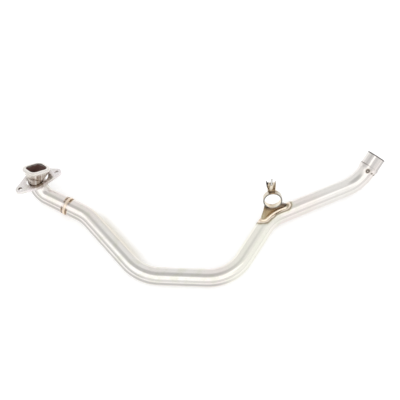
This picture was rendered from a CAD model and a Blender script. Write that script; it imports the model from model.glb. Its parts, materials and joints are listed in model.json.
import json
from math import atan2, cos, pi, radians, sin, sqrt, tan

import bpy
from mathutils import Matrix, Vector


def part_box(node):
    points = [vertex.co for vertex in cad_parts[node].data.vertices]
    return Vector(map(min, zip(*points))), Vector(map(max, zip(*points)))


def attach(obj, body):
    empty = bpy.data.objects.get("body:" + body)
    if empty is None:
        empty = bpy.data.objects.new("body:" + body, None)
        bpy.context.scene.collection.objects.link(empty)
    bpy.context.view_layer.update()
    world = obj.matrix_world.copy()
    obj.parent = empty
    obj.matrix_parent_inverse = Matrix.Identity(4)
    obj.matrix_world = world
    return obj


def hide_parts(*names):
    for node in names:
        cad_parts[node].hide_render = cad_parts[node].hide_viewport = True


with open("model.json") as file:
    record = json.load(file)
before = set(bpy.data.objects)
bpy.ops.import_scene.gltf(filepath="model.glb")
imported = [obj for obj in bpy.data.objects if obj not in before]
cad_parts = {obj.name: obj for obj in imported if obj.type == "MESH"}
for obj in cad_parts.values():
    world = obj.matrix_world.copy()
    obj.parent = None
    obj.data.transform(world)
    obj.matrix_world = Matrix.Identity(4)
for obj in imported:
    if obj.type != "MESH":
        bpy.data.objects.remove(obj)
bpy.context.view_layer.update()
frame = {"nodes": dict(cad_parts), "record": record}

nodes = frame["nodes"]
mounts = {mount["name"]: mount for mount in frame["record"]["mounts"]}
openings = {opening["name"]: opening for opening in frame["record"]["physics"]["openings"]}

# Camera, in metres and degrees
VIEW_ELEVATION = 60.0
VIEW_DISTANCE = 1.8
VIEW_TARGET = Vector((-0.0048, 0.0571, 0.0233))
SENSOR = 36.0
FOCAL_PIXELS = 716.0
IMAGE_PIXELS = 400.0

# Route of the tube, in metres and degrees
TUBE_R = 0.0225
BEND_RADIUS = 0.1
ELBOW_RADIUS = 0.046
HEADER_RUN = 0.0564
HEADER_HEADING = -27.9
DOWN_CORNER_RUN = 0.055
DOWN_HEADING = -49.0
RISER_HEADING = 58.3
REAR_HEADING = 24.4
MOUTH_INSET = 0.006

# Saddle on the riser bend and the weld round it, in metres
RING_STAND_OFF = 0.065
SADDLE_SPAN = 0.068
SADDLE_SLIDE = 0.013
SADDLE_FRONT = 0.0055
SADDLE_BACK = 0.019
SADDLE_BEAD = 0.0038

# Middle line of that weld: its front, the radius of its round ends and half of the run between them
WELD_FRONT = SADDLE_FRONT - SADDLE_BEAD / 2
WELD_SWING = (SADDLE_BACK - SADDLE_FRONT + SADDLE_BEAD) / 2
WELD_RUN = (SADDLE_SPAN + SADDLE_BEAD) / 2 - WELD_SWING

# Weld round the tube. Its crest is the line that faces the light.
JOINT_BEAD_WIDTH = 0.0078
JOINT_BEAD_HEIGHT = 0.0008
JOINT_RIPPLES = 72
JOINT_CREST_AZIMUTH = -28.0
JOINT_CREST_ELEVATION = 64.0

# Mesh of a weld bead: facets across it, steps to a ripple, and the step and the sink in metres
BEAD_SIDES = 12
BEAD_STEPS = 5
BEAD_STEP = 0.0004
BEAD_SINK = 0.0002

# Tapered ends and ripples of a bead, as shares of its height and width
BEAD_END = 0.35
RIPPLE_CURVE = 0.35
RIPPLE_DROP = 0.24
RIPPLE_POWER = 1.5
RIPPLE_WAIST = 0.04

# Spot welds on the collar: tint is where the brown ring starts and ends, in metres
TACK_WELD = {"radius": 0.0016, "height": 0.0006, "dimple": 0.0, "tint": (0.0015, 0.005)}
SPOT_WELDS = {
    "plug_weld": {"radius": 0.0045, "height": 0.0012, "dimple": 0.0006, "tint": (0.0045, 0.0095)},
    "tack_weld_1": TACK_WELD,
    "tack_weld_2": TACK_WELD}
CROWN_BAND = 0.0004

# Mesh of a dome of weld metal, with its skirt in metres
DOME_RINGS = 10
DOME_SECTORS = 36
DOME_SKIRT = 0.0025

# Shape of a dome, as shares of its height and radius
DOME_FALL = 2.2
DIMPLE_DEPTH = 0.25
DIMPLE_REACH = 0.45

# Stud with its thread, in metres
STUD_R = 0.0025
STUD_LENGTH = 0.032
STUD_CHAMFER = STUD_R / 3
THREAD_PITCH = 0.0008
THREAD_DEPTH = 0.0004
THREAD_SECTORS = 24
THREAD_STEPS = 6
FOOT_BAND = 0.0002

# Stud holes in the plate, in metres
STUD_SPACING = mounts["stud_holes"]["dims"]["pcd_mm"] / 1000
HOLE_WALL = (0.0062, 0.0072)

# Grain of the steel, in cycles per metre
BROAD_SCALE = 7.0
PATCH_SCALE = 45.0
GRAIN_SCALE = 1400.0
LINES_AROUND = 34.0
LINES_ALONG = 9.0
GRAIN_DEPTH = 0.00005
COAT_ROUGHNESS = 0.1

# Reaches of the tints, in metres: where each one starts and is full, or starts to fade and ends
DOWN_FILM = (-0.03, 0.03, 0.14, 0.22)
RISER_FILM = (0.03, 0.09, 0.15, 0.2)
FLANK_CHANGE = (0.04, 0.2)
OLIVE_CHANGE = (0.2, 0.3)
JOINT_FADE = (0.008, 0.012)
SADDLE_FADE = (0.011, 0.018)
SADDLE_BURNT = (0.026, 0.036)
RING_SHADOW = (0.024, 0.034)
SLEEVE_WEAR = 0.012
SLEEVE_RIM = (0.0034, 0.002)
SLEEVE_STEP = (0.0004, 0.0016)
SLEEVE_SIDE = (-0.03, -0.005)
NECK_TOP = (0.007, 0.016)
NECK_FOOT = (0.036, 0.05)
NECK_ROUND = (0.028, 0.042)
NECK_SIDE = (-0.014, 0.014)
SOOT_EDGE = (0.0005, 0.006)
SOOT_END = (0.07, 0.085)
SOOT_SIDE = (-0.012, 0.018)
RING_LOW = (-0.0235, -0.018)
RING_HIGH = (0.018, 0.023)
CHEEK = (0.006, 0.009)
CHEEK_HIGH = (0.002, 0.008)
BURNT_LEFT = (-0.008, -0.005)
BURNT_HIGH = (0.001, 0.006)
CLIP_LOW = (-0.008, -0.0045)
SPOT_RIM_RISE = 0.0009
SPOT_RIM_FADE = (0.006, 0.007)

# Floor, in metres
FLOOR_SIZE = 60.0
FLOOR_COLOUR = 0.82
FLOOR_GLOW = 0.34
SHADOW_REACH = 0.1
SHADE_ASIDE = (0.0, 0.02, 0.026, 0.053)
SHADE_ALONG = (-0.02, 0.04, 0.14, 0.22)

# Studio light: brightness 1 is white, and angles are in degrees, azimuths from the front to the right
ROOM = 0.94
BOX = 1.32
BOX_AZIMUTH = 0.0
BOX_ELEVATIONS = (25, 33, 67, 76)
CEILING = 0.63
CEILING_AZIMUTH = -140.0
CEILING_ELEVATION = 79.0
CEILING_RADII = (29, 9)
LOW_LEFT = 0.70
LEFT_AZIMUTH = -68.0
LEFT_ELEVATIONS = (10, 22)
RIGHT = 1.06
RIGHT_AZIMUTH = 92.0
RIGHT_ELEVATIONS = (5, 15, 45, 58)


def rgb(red, green, blue):
    return (red, green, blue, 1.0)


def grey(value):
    return (value, value, value, 1.0)


# Colours of the steel, its films, its scale and its heat tints
STEEL = rgb(0.80, 0.78, 0.75)
STEEL_PINK = rgb(0.80, 0.745, 0.715)
STEEL_OLIVE = rgb(0.75, 0.74, 0.66)
POLISH_LINES = rgb(0.62, 0.60, 0.57)
DULL_FLANK = rgb(0.42, 0.40, 0.39)
BEIGE_FILM = rgb(0.70, 0.65, 0.565)
OLIVE_FILM = rgb(0.87, 0.875, 0.775)
BRUSHED_BAND = rgb(0.43, 0.41, 0.40)
CUT_RIM = rgb(0.10, 0.085, 0.08)
STEP_LINE = rgb(0.16, 0.13, 0.11)
SCALE_GREY = rgb(0.50, 0.44, 0.45)
SCALE_PALE = rgb(0.90, 0.87, 0.88)
SOOT = rgb(0.15, 0.075, 0.06)
SOOT_PALE = rgb(0.36, 0.28, 0.25)
PORT_SHADE = rgb(0.24, 0.16, 0.11)
HOLE_SCALE = rgb(0.09, 0.055, 0.045)
PEACH = rgb(0.84, 0.68, 0.55)
STRAW = rgb(0.74, 0.60, 0.40)
BRONZE = rgb(0.36, 0.23, 0.14)
DARK_BROWN = rgb(0.12, 0.075, 0.05)
SPOT_HALO = rgb(0.66, 0.60, 0.53)
SPOT_RIM = rgb(0.11, 0.085, 0.065)
SADDLE_SHADOW = rgb(0.09, 0.06, 0.04)
BEAD_PALE = rgb(0.97, 0.89, 0.73)
BEAD_GOLD = rgb(0.93, 0.79, 0.62)
BEAD_BURNT = rgb(0.22, 0.17, 0.10)
RING_CUT = rgb(0.17, 0.16, 0.14)
RING_OUTSIDE = rgb(0.44, 0.40, 0.34)
RING_FOOT = rgb(0.30, 0.21, 0.13)
RING_TOP = rgb(0.36, 0.26, 0.17)
CLIP_BROWN = rgb(0.46, 0.35, 0.23)
CLIP_BROWN_HIGH = rgb(0.14, 0.11, 0.085)
CLIP_BURNT = rgb(0.07, 0.06, 0.055)
CLIP_FOOT = rgb(0.30, 0.20, 0.11)
FLOOR_SHADE = rgb(0.42, 0.36, 0.22)

# Metals: the base colour, then its warm and its cool patches
STAINLESS = (STEEL, STEEL_PINK, STEEL_OLIVE)
PORT_STEEL = (STEEL, rgb(0.80, 0.73, 0.68), STEEL_OLIVE)
PLATE_STEEL = (rgb(0.84, 0.80, 0.80), rgb(0.80, 0.745, 0.75), STEEL_OLIVE)
RING_STEEL = (rgb(0.84, 0.76, 0.62), rgb(0.80, 0.68, 0.52), STEEL_OLIVE)
CLIP_STEEL = (rgb(0.90, 0.81, 0.66), rgb(0.86, 0.75, 0.58), STEEL_OLIVE)
NUT_ZINC = (rgb(0.88, 0.80, 0.67), rgb(0.84, 0.74, 0.58), STEEL_OLIVE)
STUD_ZINC = (rgb(0.68, 0.67, 0.65), STEEL_PINK, STEEL_OLIVE)
DARK_WELD = (rgb(0.16, 0.11, 0.07), rgb(0.24, 0.15, 0.09), rgb(0.10, 0.08, 0.06))
GOLD_WELD = (rgb(0.87, 0.79, 0.71), rgb(0.85, 0.73, 0.62), rgb(0.80, 0.68, 0.56))

# Heat tints beside the two long welds: metres from the weld's middle line, and colour
TINT_REACH = 0.02
JOINT_TINT = [
    (0.0014, PEACH), (0.0028, STRAW), (0.004, rgb(0.27, 0.17, 0.105)), (0.006, rgb(0.17, 0.105, 0.07)),
    (0.0074, BRONZE), (0.009, rgb(0.66, 0.56, 0.44)), (0.0112, STEEL)]
SADDLE_TINT = [
    (0.003, rgb(0.66, 0.53, 0.40)), (0.0044, rgb(0.86, 0.75, 0.62)), (0.0068, rgb(0.84, 0.74, 0.63)),
    (0.0082, rgb(0.36, 0.29, 0.20)), (0.0098, rgb(0.40, 0.35, 0.25)), (0.012, rgb(0.68, 0.66, 0.57)),
    (0.016, STEEL_OLIVE)]

# Colours along the saddle: metres from its middle towards its right end, and colour
SADDLE_HALF = 0.036
SADDLE_SWEEP = [
    (-0.036, rgb(0.45, 0.39, 0.26)), (-0.01584, rgb(0.38, 0.28, 0.16)), (0.0036, rgb(0.21, 0.13, 0.07)),
    (0.0216, rgb(0.14, 0.085, 0.05)), (0.036, rgb(0.08, 0.05, 0.03))]

# Brushed bands round the outlet sleeve: degrees from its top towards its right, and strength
OUTLET_BANDS = [
    (-40.0, 0.1), (-26.0, 0.35), (-17.0, 0.75), (-4.0, 1.0), (2.0, 0.0), (9.0, 0.0), (14.0, 0.85),
    (20.0, 1.0), (29.0, 1.0), (37.0, 0.1), (44.0, 0.0), (56.0, 0.2), (65.0, 0.85), (80.0, 1.0)]


def heading(angle):
    """Unit vector at an angle in the floor, in degrees from +X towards +Y."""
    return Vector((cos(radians(angle)), sin(radians(angle)), 0.0))


def toward(azimuth, elevation=0.0):
    """Unit vector at an azimuth from the front towards the right and an elevation, in degrees."""
    flat = cos(radians(elevation))
    return (flat * sin(radians(azimuth)), -flat * cos(radians(azimuth)), sin(radians(elevation)))


def sines(angles):
    """Heights on the unit sphere at elevations in degrees."""
    return [sin(radians(angle)) for angle in angles]


def across(offset, axis):
    """What is left of an offset without its part along an axis."""
    return offset - axis * offset.dot(axis)


def centre(name):
    """Middle of a CAD node's box."""
    low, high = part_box(name)
    return (Vector(low) + Vector(high)) / 2


def middle(points):
    return sum(points, Vector()) / len(points)


# Places and directions worked out from the frame
UP = Vector((0.0, 0.0, 1.0))
joint = centre("joint_bead")
header_dir = heading(HEADER_HEADING)
down_dir = heading(DOWN_HEADING)
down_far = heading(DOWN_HEADING + 90.0)
down_corner = joint + header_dir * DOWN_CORNER_RUN
port_axis = Vector(mounts["port_face"]["axis"]).normalized()
mouth_low, mouth_high = openings["port_mouth"]["box_m"]
mouth = (Vector(mouth_low) + Vector(mouth_high)) / 2 + port_axis * MOUTH_INSET
elbow_turn = header_dir.angle(-port_axis)
elbow_corner = joint - header_dir * (HEADER_RUN + ELBOW_RADIUS * tan(elbow_turn / 2))
elbow_centre = elbow_corner + (port_axis + header_dir).normalized() * (ELBOW_RADIUS / cos(elbow_turn / 2))
elbow_normal = port_axis.cross(header_dir).normalized()
plate = Vector(mounts["stud_holes"]["pos_m"])
plate_axis = Vector(mounts["stud_holes"]["axis"])
outlet = Vector(mounts["outlet_end"]["pos_m"])
outlet_axis = Vector(mounts["outlet_end"]["axis"]).normalized()
outlet_right = outlet_axis.cross(UP).normalized()
outlet_up = outlet_right.cross(outlet_axis)
half_sleeve = mounts["outlet_end"]["dims"]["length_mm"] / 2000
ring = Vector(mounts["hanger_eye"]["pos_m"])
ring_axis = Vector(mounts["hanger_eye"]["axis"]).normalized()
ring_up = ring_axis.cross(Vector((1.0, 0.0, 0.0))).normalized()
riser_inner = (heading(REAR_HEADING) - heading(RISER_HEADING)).normalized()
bend_centre = ring - ring_up * RING_STAND_OFF + riser_inner * BEND_RADIUS
bend_middle = atan2(-riser_inner.y, -riser_inner.x)


def vertices(name):
    """Corners of a CAD node's mesh."""
    return [vertex.co for vertex in nodes[name].data.vertices]


def spot_crown(name):
    """Middle of a spot weld's face, from its points that lie furthest from the outlet's axis."""
    points = vertices(name)
    reaches = [across(point - outlet, outlet_axis).length for point in points]
    low = max(reaches) - CROWN_BAND
    return middle([point for point, reach in zip(points, reaches) if reach > low])


def stud_foot():
    """Middle of the stud's lower end, from its lowest points along the ring's up direction."""
    points = vertices("clip_stud")
    low = min(point.dot(ring_up) for point in points)
    return middle([point for point in points if point.dot(ring_up) < low + FOOT_BAND])


# Camera
cam_data = bpy.data.cameras.new("camera")
cam_data.sensor_width = SENSOR
cam_data.lens = SENSOR * FOCAL_PIXELS / IMAGE_PIXELS
camera = bpy.data.objects.new("camera", cam_data)
camera.rotation_euler = (radians(90.0 - VIEW_ELEVATION), 0.0, 0.0)
camera.location = VIEW_TARGET + camera.rotation_euler.to_matrix() @ Vector((0.0, 0.0, VIEW_DISTANCE))
bpy.context.scene.collection.objects.link(camera)
bpy.context.scene.camera = camera
bpy.context.scene.view_settings.view_transform = "Standard"


class Graph:
    """A node tree with short calls for the nodes used here."""

    def __init__(self, tree):
        self.nodes = tree.nodes
        self.links = tree.links
        self.coordinates = {}

    def add(self, kind, **values):
        node = self.nodes.new(kind)
        for key, value in values.items():
            setattr(node, key, value)
        return node

    def put(self, socket, value):
        if isinstance(value, bpy.types.NodeSocket):
            self.links.new(value, socket)
        else:
            socket.default_value = value

    def math(self, operation, a, b=0.0, clamp=False):
        node = self.add("ShaderNodeMath", operation=operation, use_clamp=clamp)
        self.put(node.inputs[0], a)
        self.put(node.inputs[1], b)
        return node.outputs[0]

    def plus(self, a, b):
        return self.math("ADD", a, b)

    def minus(self, a, b):
        return self.math("SUBTRACT", a, b)

    def times(self, first, *others):
        for other in others:
            first = self.math("MULTIPLY", first, other)
        return first

    def hypotenuse(self, a, b):
        squares = self.plus(self.math("POWER", a, 2.0), self.math("POWER", b, 2.0))
        return self.math("SQRT", squares)

    def vector(self, operation, a, b=(0.0, 0.0, 0.0)):
        node = self.add("ShaderNodeVectorMath", operation=operation)
        self.put(node.inputs[0], a)
        self.put(node.inputs[1], b)
        scalar = operation in ("DOT_PRODUCT", "LENGTH", "DISTANCE")
        return node.outputs["Value"] if scalar else node.outputs["Vector"]

    def dot(self, a, b):
        return self.vector("DOT_PRODUCT", a, b)

    def unit(self, a):
        return self.vector("NORMALIZE", a)

    def length(self, a):
        return self.vector("LENGTH", a)

    def scale(self, a, factor):
        node = self.add("ShaderNodeVectorMath", operation="SCALE")
        self.put(node.inputs[0], a)
        self.put(node.inputs["Scale"], factor)
        return node.outputs["Vector"]

    def across(self, offset, axis):
        """What is left of an offset without its part along an axis."""
        return self.vector("SUBTRACT", offset, self.scale(axis, self.dot(offset, axis)))

    def parts(self, vector):
        node = self.add("ShaderNodeSeparateXYZ")
        self.put(node.inputs[0], vector)
        return node.outputs

    def whole(self, x, y, z):
        node = self.add("ShaderNodeCombineXYZ")
        for socket, part in zip(node.inputs, (x, y, z)):
            self.put(socket, part)
        return node.outputs[0]

    def coordinate(self, name):
        if name not in self.coordinates:
            self.coordinates[name] = self.add("ShaderNodeTexCoord").outputs[name]
        return self.coordinates[name]

    def place(self):
        """Position on the object, in metres."""
        return self.coordinate("Object")

    def normal(self):
        return self.coordinate("Normal")

    def from_point(self, point):
        return self.vector("SUBTRACT", self.place(), point)

    def distance(self, point):
        return self.vector("DISTANCE", self.place(), point)

    def along(self, point, axis):
        """Signed distance from a point along an axis."""
        return self.dot(self.from_point(point), axis)

    def spread(self, value, low, high, to_low=0.0, to_high=1.0, smooth=True):
        """Map a value from low..high to to_low..to_high, clamped."""
        node = self.add("ShaderNodeMapRange", interpolation_type="SMOOTHSTEP" if smooth else "LINEAR")
        for socket, part in zip(node.inputs, (value, low, high, to_low, to_high)):
            self.put(socket, part)
        return node.outputs[0]

    def fade(self, value, low, high, strength=1.0):
        """Full strength below low, and nothing above high."""
        return self.spread(value, low, high, strength, 0.0)

    def between(self, value, low, rise, fall, high):
        """1 between rise and fall, and 0 below low and above high."""
        return self.times(self.spread(value, low, rise), self.fade(value, fall, high))

    def mix(self, factor, a, b):
        node = self.add("ShaderNodeMix", data_type="RGBA")
        self.put(node.inputs[0], factor)
        self.put(node.inputs[6], a)
        self.put(node.inputs[7], b)
        return node.outputs[2]

    def noise(self, scale, detail=3.0, roughness=0.5, where=None):
        node = self.add("ShaderNodeTexNoise")
        self.put(node.inputs["Vector"], where if where is not None else self.place())
        self.put(node.inputs["Scale"], scale)
        self.put(node.inputs["Detail"], detail)
        self.put(node.inputs["Roughness"], roughness)
        return node.outputs["Fac"]

    def wobble(self, amount, scale=120.0):
        """A value from -amount to amount that wanders over the surface."""
        return self.spread(self.noise(scale, 2.0), 0.25, 0.75, -amount, amount, smooth=False)

    def ramp(self, value, low, high, stops):
        """Colours at stops between low and high."""
        node = self.add("ShaderNodeValToRGB")
        elements = node.color_ramp.elements
        while len(elements) < len(stops):
            elements.new(0.5)
        for element, (at, colour) in zip(elements, stops):
            element.position = (at - low) / (high - low)
            element.color = colour
        self.put(node.inputs[0], self.spread(value, low, high, smooth=False))
        return node.outputs[0]

    def bump(self, height, distance, strength, under):
        node = self.add("ShaderNodeBump")
        self.put(node.inputs["Height"], height)
        self.put(node.inputs["Distance"], distance)
        self.put(node.inputs["Strength"], strength)
        if under is not None:
            self.put(node.inputs["Normal"], under)
        return node.outputs["Normal"]


def steel(name, metal=STAINLESS, roughness=0.13, tints=(), dark=None, edge=0.0, coat=0.0, flank=False):
    """Metal with lengthwise polishing lines.

    Each tint takes the graph and a colour and gives a colour. dark gives a mask of 0 to 1 for soot.
    An edge is the radius of its worn corners. A flank is the duller lower side of a tube, most on the left.
    """
    base, warm, cool = metal
    material = bpy.data.materials.new(name)
    material.use_nodes = True
    graph = Graph(material.node_tree)
    shader = graph.nodes["Principled BSDF"]
    broad = graph.noise(BROAD_SCALE, 2.0)
    patches = graph.noise(PATCH_SCALE, 3.0)
    grain = graph.noise(GRAIN_SCALE, 2.0)
    facing = graph.parts(graph.normal())
    where = graph.parts(graph.place())
    lines = graph.noise(1.0, 5.0, 0.65, graph.whole(graph.times(facing["Z"], LINES_AROUND),
                                                   graph.times(where["X"], LINES_ALONG),
                                                   graph.times(where["Y"], LINES_ALONG)))
    patchy = graph.times(graph.spread(patches, 0.44, 0.68, 0.0, 0.85),
                         graph.spread(where["X"], *OLIVE_CHANGE, 1.0, 0.3))
    colour = graph.mix(graph.spread(broad, 0.38, 0.62), base, warm)
    colour = graph.mix(patchy, colour, cool)
    colour = graph.mix(graph.spread(lines, 0.5, 0.7, 0.0, 0.25), colour, POLISH_LINES)
    if flank:
        low = graph.between(facing["Z"], 0.0, 0.16, 0.34, 0.5)
        low = graph.times(low, graph.spread(where["X"], *FLANK_CHANGE, 0.8, 0.15))
        colour = graph.mix(low, colour, DULL_FLANK)
    for tint in tints:
        colour = tint(graph, colour)
    rough = graph.plus(graph.spread(patches, 0.3, 0.7, roughness - 0.03, roughness + 0.05),
                       graph.spread(lines, 0.3, 0.7, -0.03, 0.04))
    metallic = 1.0
    if dark is not None:
        mask = dark(graph)
        right = graph.spread(graph.along(mouth, header_dir), *SOOT_SIDE)
        soot = graph.mix(graph.times(right, graph.spread(patches, 0.35, 0.6)), SOOT, SOOT_PALE)
        colour = graph.mix(mask, colour, soot)
        rough = graph.math("ADD", rough, graph.times(mask, 0.6), clamp=True)
        metallic = graph.math("SUBTRACT", 1.0, mask, clamp=True)
    rounded = None
    if edge > 0.0:
        bevel = graph.add("ShaderNodeBevel")
        bevel.inputs["Radius"].default_value = edge
        rounded = bevel.outputs["Normal"]
    relief = graph.plus(graph.times(grain, 0.35), lines)
    shader.inputs["Coat Weight"].default_value = coat
    shader.inputs["Coat Roughness"].default_value = COAT_ROUGHNESS
    graph.put(shader.inputs["Base Color"], colour)
    graph.put(shader.inputs["Metallic"], metallic)
    graph.put(shader.inputs["Roughness"], rough)
    graph.put(shader.inputs["Normal"], graph.bump(relief, GRAIN_DEPTH, 0.3, rounded))
    return material


# Tints of the tube
def down_tint(graph, colour):
    """Beige film on the far side of the first long run."""
    film = graph.between(graph.along(down_corner, down_dir), *DOWN_FILM)
    far = graph.spread(graph.dot(graph.normal(), down_far), 0.3, 0.85)
    return graph.mix(graph.times(film, far), colour, BEIGE_FILM)


def riser_tint(graph, colour):
    """Faint olive film on the run that rises to the ring."""
    film = graph.between(graph.parts(graph.place())["X"], *RISER_FILM)
    return graph.mix(graph.times(film, 0.6), colour, OLIVE_FILM)


def joint_tint(graph, colour):
    """Peach weld between two brown bands that fade out through straw, paler along the tube's crest."""
    gap = graph.plus(graph.math("ABSOLUTE", graph.along(joint, header_dir)), graph.wobble(0.0009))
    near = graph.math("LESS_THAN", graph.distance(joint), 2 * TUBE_R)
    crest = graph.dot(graph.normal(), toward(JOINT_CREST_AZIMUTH, JOINT_CREST_ELEVATION))
    uneven = graph.times(graph.spread(graph.noise(150.0, 2.0), 0.36, 0.6, 0.5, 1.0),
                         graph.spread(crest, 0.93, 0.99, 1.0, 0.15))
    strength = graph.times(graph.fade(gap, *JOINT_FADE), near, uneven)
    return graph.mix(strength, colour, graph.ramp(gap, 0.0, TINT_REACH, JOINT_TINT))


def saddle_length(graph):
    """Distance along the riser bend from the saddle's middle, towards its right end."""
    spot = graph.parts(graph.from_point(bend_centre))
    angle = graph.math("ARCTAN2", spot["Y"], spot["X"])
    return graph.minus(graph.times(graph.minus(bend_middle, angle), BEND_RADIUS), SADDLE_SLIDE)


def saddle_gap(graph):
    """Distance on the tube's top from the middle line of the weld round the saddle, signed outwards."""
    spot = graph.parts(graph.from_point(bend_centre))
    reach = graph.hypotenuse(spot["X"], spot["Y"])
    length = graph.math("ABSOLUTE", saddle_length(graph))
    beyond = graph.math("MAXIMUM", graph.minus(length, WELD_RUN), 0.0)
    aside = graph.minus(reach, BEND_RADIUS + WELD_FRONT + WELD_SWING)
    return graph.minus(graph.hypotenuse(beyond, aside), WELD_SWING)


def saddle_tint(graph, colour):
    """Pinkish skirt round the saddle's weld, then a dark line."""
    gap = graph.plus(saddle_gap(graph), graph.wobble(0.0012, 90.0))
    top = graph.spread(graph.parts(graph.place())["Z"], TUBE_R * 0.7, TUBE_R * 1.3)
    strength = graph.times(graph.fade(gap, *SADDLE_FADE), top)
    return graph.mix(strength, colour, graph.ramp(gap, 0.0, TINT_REACH, SADDLE_TINT))


def plug_tint(graph, colour):
    """Brown rings round the plug weld and the tack welds."""
    for name, spot in SPOT_WELDS.items():
        inner, outer = spot["tint"]
        gap = graph.plus(graph.distance(spot_crown(name)), graph.wobble(0.0003))
        tinted = graph.mix(graph.spread(gap, inner, (inner + outer) / 2), DARK_BROWN, SPOT_HALO)
        colour = graph.mix(graph.fade(gap, inner, outer, 0.95), colour, tinted)
    return colour


def outlet_tint(graph, colour):
    """Brushed bands, a dark line at the step, deepest on its left, and a dark rim at the cut end."""
    length = graph.plus(graph.along(outlet, outlet_axis), graph.wobble(0.0003, 200.0))
    turn = graph.math("ARCTAN2", graph.dot(graph.normal(), outlet_right),
                      graph.dot(graph.normal(), outlet_up))
    turn = graph.plus(graph.math("DEGREES", turn), graph.spread(graph.noise(60.0, 2.0), 0.3, 0.7, -1.0, 1.0))
    bands = [(angle, grey(strength)) for angle, strength in OUTLET_BANDS]
    fine = graph.noise(1.0, 4.0, 0.7, graph.whole(graph.times(turn, 0.9), 0.0, 0.0))
    worn = graph.times(graph.ramp(turn, OUTLET_BANDS[0][0], OUTLET_BANDS[-1][0], bands),
                       graph.spread(fine, 0.35, 0.65, 0.75, 1.0),
                       graph.spread(length, -half_sleeve - SLEEVE_WEAR, -half_sleeve, 0.25, 1.0))
    rim = graph.spread(length, half_sleeve - SLEEVE_RIM[0], half_sleeve - SLEEVE_RIM[1])
    step = graph.fade(graph.math("ABSOLUTE", graph.plus(length, half_sleeve)), *SLEEVE_STEP)
    side = graph.spread(graph.parts(graph.from_point(outlet))["X"], *SLEEVE_SIDE, 0.9, 0.1)
    colour = graph.mix(worn, colour, BRUSHED_BAND)
    colour = graph.mix(graph.times(rim, 0.95), colour, CUT_RIM)
    return graph.mix(graph.times(step, side), colour, STEP_LINE)


# Tints of the port and its plate
def port_tint(graph, colour):
    """Brown shade low on the port's neck, deepest on its right, and on the plate beside it."""
    offset = graph.from_point(mouth)
    depth = graph.times(graph.dot(offset, port_axis), -1.0)
    right = graph.dot(offset, header_dir)
    away = graph.length(graph.across(offset, port_axis))
    around = graph.parts(graph.unit(graph.vector("CROSS_PRODUCT", offset, port_axis)))
    drawn = graph.noise(1.0, 4.0, 0.6, graph.whole(graph.times(around["X"], 5.0),
                                                  graph.times(around["Y"], 5.0), 0.0))
    shade = graph.times(graph.spread(depth, *NECK_TOP), graph.spread(right, *NECK_SIDE, 0.25, 0.85),
                        graph.fade(away, *NECK_ROUND), graph.fade(depth, *NECK_FOOT),
                        graph.spread(drawn, 0.38, 0.62, 0.3, 1.0))
    return graph.mix(shade, colour, PORT_SHADE)


def inside_port(graph):
    """Soot inside the port: faces near the mouth that look towards the middle of the bore."""
    offset = graph.from_point(elbow_centre)
    bore = graph.scale(graph.unit(graph.across(offset, elbow_normal)), ELBOW_RADIUS)
    inward = graph.dot(graph.unit(graph.vector("SUBTRACT", bore, offset)), graph.normal())
    depth = graph.times(graph.along(mouth, port_axis), -1.0)
    edge = graph.spread(graph.plus(depth, graph.wobble(0.002, 160.0)), *SOOT_EDGE)
    near = graph.fade(graph.distance(mouth), *SOOT_END)
    return graph.times(graph.spread(inward, 0.15, 0.45), edge, near)


def plate_speckle(graph, colour):
    """Mill scale on the plate: fine grey and pinkish grains."""
    dull = graph.spread(graph.noise(520.0, 2.0, 0.7), 0.52, 0.66, 0.0, 0.5)
    pale = graph.spread(graph.noise(800.0, 1.0), 0.56, 0.7, 0.0, 0.5)
    return graph.mix(pale, graph.mix(dull, colour, SCALE_GREY), SCALE_PALE)


def stud_hole_tint(graph, colour):
    """Brown scale on the walls of the two stud holes, darker in the left one."""
    ear = max((point - plate for point in vertices("head_flange")), key=lambda offset: offset.length)
    upright = graph.math("ABSOLUTE", graph.dot(graph.normal(), plate_axis))
    for side in (-1, 1):
        hole = plate + ear.normalized() * (side * STUD_SPACING / 2)
        wall = graph.times(graph.fade(graph.distance(hole), *HOLE_WALL), graph.fade(upright, 0.5, 0.8))
        strength = 0.95 if hole.x < plate.x else 0.5
        colour = graph.mix(graph.times(wall, strength), colour, HOLE_SCALE)
    return colour


# Tints of the hanger
def saddle_colour(graph, colour):
    """Olive at the left end, brown in the middle and nearly black at the right and under the ring."""
    shift = graph.plus(saddle_length(graph), graph.wobble(0.008, 45.0))
    sweep = graph.ramp(shift, -SADDLE_HALF, SADDLE_HALF, SADDLE_SWEEP)
    return graph.mix(graph.fade(graph.distance(ring), *RING_SHADOW, 0.85), sweep, SADDLE_SHADOW)


def bead_colour(graph, colour):
    """Gold and peach weld metal, burnt at the right end."""
    gold = graph.mix(graph.spread(graph.noise(260.0, 2.0), 0.35, 0.65), BEAD_PALE, BEAD_GOLD)
    return graph.mix(graph.spread(saddle_length(graph), *SADDLE_BURNT, 0.0, 0.85), gold, BEAD_BURNT)


def ring_colour(graph, colour):
    """Cream inside, grey on the cut faces, and brown near the two welds."""
    cut = graph.math("ABSOLUTE", graph.dot(graph.normal(), ring_axis))
    out = graph.dot(graph.normal(), graph.unit(graph.from_point(ring)))
    height = graph.plus(graph.along(ring, ring_up), graph.wobble(0.0015))
    colour = graph.mix(graph.spread(cut, 0.45, 0.7, 0.0, 0.95), colour, RING_CUT)
    colour = graph.mix(graph.spread(out, 0.3, 0.8, 0.0, 0.5), colour, RING_OUTSIDE)
    colour = graph.mix(graph.fade(height, *RING_LOW, 0.85), colour, RING_FOOT)
    return graph.mix(graph.spread(height, *RING_HIGH, 0.0, 0.8), colour, RING_TOP)


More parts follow.
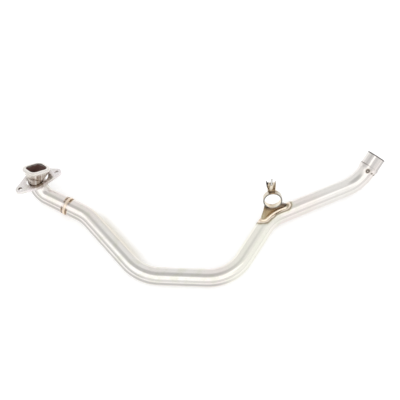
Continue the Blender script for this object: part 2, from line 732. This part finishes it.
def clip_colour(graph, colour):
    """Folded sheet, cream on its back, brown on its cheeks and foot, and nearly black at the top left."""
    offset = graph.from_point(centre("clip_nut"))
    right = graph.parts(offset)["X"]
    aside = graph.plus(graph.math("ABSOLUTE", right), graph.wobble(0.0012))
    height = graph.plus(graph.dot(offset, ring_up), graph.wobble(0.001))
    cheek = graph.mix(graph.spread(height, *CHEEK_HIGH), CLIP_BROWN, CLIP_BROWN_HIGH)
    burnt = graph.times(graph.fade(right, *BURNT_LEFT), graph.spread(height, *BURNT_HIGH))
    colour = graph.mix(graph.spread(aside, *CHEEK, 0.0, 0.6), colour, cheek)
    colour = graph.mix(burnt, colour, CLIP_BURNT)
    return graph.mix(graph.fade(height, *CLIP_LOW, 0.9), colour, CLIP_FOOT)


def spot_colour(graph, colour):
    """Bright middle and a dark burnt rim."""
    for name, spot in SPOT_WELDS.items():
        gap = graph.plus(graph.distance(spot_crown(name)), graph.wobble(0.0003))
        rim = graph.between(gap, spot["dimple"], spot["dimple"] + SPOT_RIM_RISE, *SPOT_RIM_FADE)
        colour = graph.mix(graph.times(rim, 0.92), colour, SPOT_RIM)
    return colour


def use(material, *names):
    """Give CAD nodes one material."""
    for name in names:
        data = nodes[name].data
        data.materials.clear()
        data.materials.append(material)


# Materials of the CAD nodes
use(steel("tube_steel", tints=(down_tint, riser_tint, joint_tint, saddle_tint, plug_tint), flank=True),
    "main_pipe")
use(steel("header_steel", tints=(port_tint, joint_tint), dark=inside_port, flank=True), "header_pipe")
use(steel("outlet_steel", tints=(outlet_tint, plug_tint), edge=0.0003), "outlet_spigot", "outlet_collar")
use(steel("port_steel", PORT_STEEL, roughness=0.2, tints=(port_tint,), dark=inside_port), "port_stub")
use(steel("plate_steel", PLATE_STEEL, roughness=0.28, tints=(plate_speckle, port_tint, stud_hole_tint),
          edge=0.0005), "head_flange")
use(steel("ring_steel", RING_STEEL, roughness=0.22, tints=(ring_colour,), edge=0.0004), "hanger_ring")
use(steel("clip_steel", CLIP_STEEL, roughness=0.26, tints=(clip_colour,), edge=0.0003), "clip")
use(steel("zinc", NUT_ZINC, roughness=0.3, edge=0.0003), "clip_nut")
use(steel("saddle_steel", roughness=0.24, tints=(saddle_colour,), edge=0.0008), "hanger_saddle")
use(steel("dark_weld", DARK_WELD, roughness=0.3), "ring_bead", "clip_bead")
weld_gold = steel("weld_gold", GOLD_WELD, roughness=0.24, tints=(joint_tint,), coat=0.4)
saddle_gold = steel("saddle_gold", roughness=0.24, tints=(bead_colour,), coat=0.3)
spot_brown = steel("spot_brown", roughness=0.22, tints=(spot_colour,))
stud_zinc = steel("stud_zinc", STUD_ZINC, roughness=0.3)


def mesh_piece(name, points, faces, node, material):
    """A smooth mesh that takes the place of a CAD node."""
    mesh = bpy.data.meshes.new(name)
    mesh.from_pydata(points, [], faces)
    mesh.polygons.foreach_set("use_smooth", [True] * len(faces))
    mesh.materials.append(material)
    piece = bpy.data.objects.new(name, mesh)
    bpy.context.scene.collection.objects.link(piece)
    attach(piece, "root")
    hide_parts(node)


# Rippled weld beads. A station gives a point on the steel, its outward normal and the way along.
def ripple_mesh(stations, width, height, sink, ripples, closed):
    """Overlapping crescents along a line of stations, sunk a little into the steel."""
    count = len(stations)
    points = []
    for k, (spot, out, forward) in enumerate(stations):
        sideways = forward.cross(out).normalized()
        taper = 1.0 if closed else min(1.0, BEAD_END + min(k, count - 1 - k) / BEAD_STEPS)
        for j in range(BEAD_SIDES + 1):
            turn = pi * j / BEAD_SIDES
            side = cos(turn)
            phase = (k / count * ripples + RIPPLE_CURVE * side * side) % 1.0
            lift = 1.0 - RIPPLE_DROP * phase ** RIPPLE_POWER
            reach = side * width / 2 * taper * (1.0 - RIPPLE_WAIST + RIPPLE_WAIST * lift)
            rise = sin(turn) * height * lift * taper
            points.append(spot + sideways * reach + out * (rise - sink))
    faces = []
    for k in range(count if closed else count - 1):
        a = k * (BEAD_SIDES + 1)
        b = (k + 1) % count * (BEAD_SIDES + 1)
        faces += [(a + j, a + j + 1, b + j + 1, b + j) for j in range(BEAD_SIDES)]
    return points, faces


def joint_stations():
    """Round the tube at the joint."""
    side = header_dir.cross(UP)
    count = JOINT_RIPPLES * BEAD_STEPS
    for k in range(count):
        turn = 2 * pi * k / count
        out = side * cos(turn) + UP * sin(turn)
        yield joint + out * TUBE_R, out, header_dir.cross(out)


def saddle_skin(s):
    """Point and normal on the tube's skin at a length along the saddle's weld, from its middle."""
    beyond = abs(s) - WELD_RUN
    along, aside = s, WELD_FRONT
    if beyond > 0.0:
        turn = beyond / WELD_SWING
        along = (WELD_RUN + WELD_SWING * sin(turn)) * (1 if s > 0 else -1)
        aside = WELD_FRONT + WELD_SWING * (1 - cos(turn))
    angle = bend_middle - (along + SADDLE_SLIDE) / BEND_RADIUS
    way = Vector((cos(angle), sin(angle), 0.0))
    out = (way * aside + UP * sqrt(TUBE_R ** 2 - aside ** 2)) / TUBE_R
    return bend_centre + way * BEND_RADIUS + out * TUBE_R, out


def saddle_stations():
    """Along the front of the saddle's foot and round both ends."""
    reach = pi / 2 * WELD_SWING + WELD_RUN
    count = round(2 * reach / BEAD_STEP)
    for k in range(count + 1):
        s = reach * (2 * k / count - 1)
        spot, out = saddle_skin(s)
        ahead = saddle_skin(s + BEAD_STEP / 2)[0]
        yield spot, out, (ahead - spot).normalized()


stations = list(joint_stations())
points, faces = ripple_mesh(stations, JOINT_BEAD_WIDTH, JOINT_BEAD_HEIGHT, 0.0, JOINT_RIPPLES, True)
mesh_piece("joint_bead_rippled", points, faces, "joint_bead", weld_gold)
stations = list(saddle_stations())
ripples = len(stations) // BEAD_STEPS
points, faces = ripple_mesh(stations, 2 * SADDLE_BEAD, SADDLE_BEAD, BEAD_SINK, ripples, False)
mesh_piece("saddle_bead_rippled", points, faces, "saddle_bead", saddle_gold)


# Spot welds
def dome_rise(part):
    """Height of a dome below its raised rim at a part of its radius, as a share of its height."""
    if part < DIMPLE_REACH:
        return -DIMPLE_DEPTH * (1 - part / DIMPLE_REACH) ** 2
    return -DOME_FALL * (part - DIMPLE_REACH) ** 2


def spot_weld(node, radius, height):
    """Low dome of weld metal with a raised rim and a dimple, standing on the collar's foot."""
    crown = spot_crown(node)
    out = across(crown - outlet, outlet_axis).normalized()
    side = out.cross(outlet_axis)
    turns = [2 * pi * j / DOME_SECTORS for j in range(DOME_SECTORS)]
    spokes = [outlet_axis * cos(turn) + side * sin(turn) for turn in turns]
    points = [crown + out * (height * dome_rise(0.0))]
    for k in range(1, DOME_RINGS + 1):
        part = k / DOME_RINGS
        points += [crown + spoke * (radius * part) + out * (height * dome_rise(part)) for spoke in spokes]
    points += [point - out * DOME_SKIRT for point in points[-DOME_SECTORS:]]
    faces = [(0, 1 + j, 1 + (j + 1) % DOME_SECTORS) for j in range(DOME_SECTORS)]
    for k in range(DOME_RINGS):
        low = 1 + k * DOME_SECTORS
        high = low + DOME_SECTORS
        faces += [(low + j, high + j, high + (j + 1) % DOME_SECTORS, low + (j + 1) % DOME_SECTORS)
                  for j in range(DOME_SECTORS)]
    mesh_piece(node + "_domed", points, faces, node, spot_brown)


for name, spot in SPOT_WELDS.items():
    spot_weld(name, spot["radius"], spot["height"])


# Stud
def threaded_stud():
    """Stud with a rolled thread and a chamfered tip, in place of the plain rod."""
    foot = stud_foot()
    side = Vector((1.0, 0.0, 0.0))
    other = ring_up.cross(side)
    rows = round(STUD_LENGTH / THREAD_PITCH * THREAD_STEPS)
    points = []
    for k in range(rows + 1):
        height = STUD_LENGTH * k / rows
        chamfered = STUD_R - max(0.0, height - STUD_LENGTH + STUD_CHAMFER)
        for j in range(THREAD_SECTORS):
            phase = (height / THREAD_PITCH + j / THREAD_SECTORS) % 1.0
            radius = min(STUD_R - THREAD_DEPTH * abs(2 * phase - 1), chamfered)
            turn = -2 * pi * j / THREAD_SECTORS
            points.append(foot + ring_up * height + (side * cos(turn) + other * sin(turn)) * radius)
    faces = []
    for k in range(rows):
        low = k * THREAD_SECTORS
        high = low + THREAD_SECTORS
        faces += [(low + j, low + (j + 1) % THREAD_SECTORS, high + (j + 1) % THREAD_SECTORS, high + j)
                  for j in range(THREAD_SECTORS)]
    faces.append(tuple(range(THREAD_SECTORS - 1, -1, -1)))
    faces.append(tuple(range(rows * THREAD_SECTORS, (rows + 1) * THREAD_SECTORS)))
    mesh_piece("clip_stud_threaded", points, faces, "clip_stud", stud_zinc)


threaded_stud()


# Floor: white, with its own glow for the camera and in reflections, less where the object covers it
half = FLOOR_SIZE / 2
mesh = bpy.data.meshes.new("floor")
mesh.from_pydata([(-half, -half, 0), (half, -half, 0), (half, half, 0), (-half, half, 0)], [], [(0, 1, 2, 3)])
floor = bpy.data.objects.new("floor", mesh)
bpy.context.scene.collection.objects.link(floor)
material = bpy.data.materials.new("floor")
material.use_nodes = True
mesh.materials.append(material)
graph = Graph(material.node_tree)
graph.nodes.remove(graph.nodes["Principled BSDF"])
diffuse = graph.add("ShaderNodeBsdfDiffuse")
diffuse.inputs["Color"].default_value = grey(FLOOR_COLOUR)
paths = graph.add("ShaderNodeLightPath").outputs
seen = graph.math("MAXIMUM", paths["Is Camera Ray"],
                  graph.math("MAXIMUM", paths["Is Glossy Ray"], paths["Is Transmission Ray"]))
cover = graph.add("ShaderNodeAmbientOcclusion")
cover.inputs["Distance"].default_value = SHADOW_REACH
opened = graph.spread(cover.outputs["AO"], 0.08, 0.3)

# Faint beige shade behind the first long run
shade = graph.times(graph.between(graph.along(down_corner, down_far), *SHADE_ASIDE),
                    graph.between(graph.along(down_corner, down_dir), *SHADE_ALONG))
glow = graph.add("ShaderNodeEmission")
graph.put(glow.inputs["Color"], graph.mix(shade, grey(1.0), FLOOR_SHADE))
graph.put(glow.inputs["Strength"], graph.times(seen, opened, FLOOR_GLOW))
both = graph.add("ShaderNodeAddShader")
graph.put(both.inputs[0], diffuse.outputs[0])
graph.put(both.inputs[1], glow.outputs[0])
graph.put(graph.nodes["Material Output"].inputs["Surface"], both.outputs[0])


# Room of light: a large soft box in front, a dull ceiling, a dim low left and a bright right
world = bpy.data.worlds.new("studio")
bpy.context.scene.world = world
world.use_nodes = True
graph = Graph(world.node_tree)
direction = graph.unit(graph.coordinate("Generated"))
compass = graph.parts(direction)
level = graph.unit(graph.whole(compass["X"], compass["Y"], 0.0))
box = graph.times(graph.between(compass["Z"], *sines(BOX_ELEVATIONS)),
                  graph.spread(graph.dot(level, toward(BOX_AZIMUTH)), -0.15, 0.15))
ceiling = graph.spread(graph.dot(direction, toward(CEILING_AZIMUTH, CEILING_ELEVATION)),
                       *(cos(radians(radius)) for radius in CEILING_RADII))
left = graph.times(graph.spread(graph.dot(level, toward(LEFT_AZIMUTH)), 0.75, 0.95),
                   graph.fade(compass["Z"], *sines(LEFT_ELEVATIONS)))
right = graph.times(graph.spread(graph.dot(level, toward(RIGHT_AZIMUTH)), 0.6, 0.9),
                    graph.between(compass["Z"], *sines(RIGHT_ELEVATIONS)))
room = grey(ROOM)
for zone, brightness in ((box, BOX), (ceiling, CEILING), (left, LOW_LEFT), (right, RIGHT)):
    room = graph.mix(zone, room, grey(brightness))
camera_ray = graph.add("ShaderNodeLightPath").outputs["Is Camera Ray"]
graph.put(graph.nodes["Background"].inputs["Color"], graph.mix(camera_ray, room, grey(1.0)))
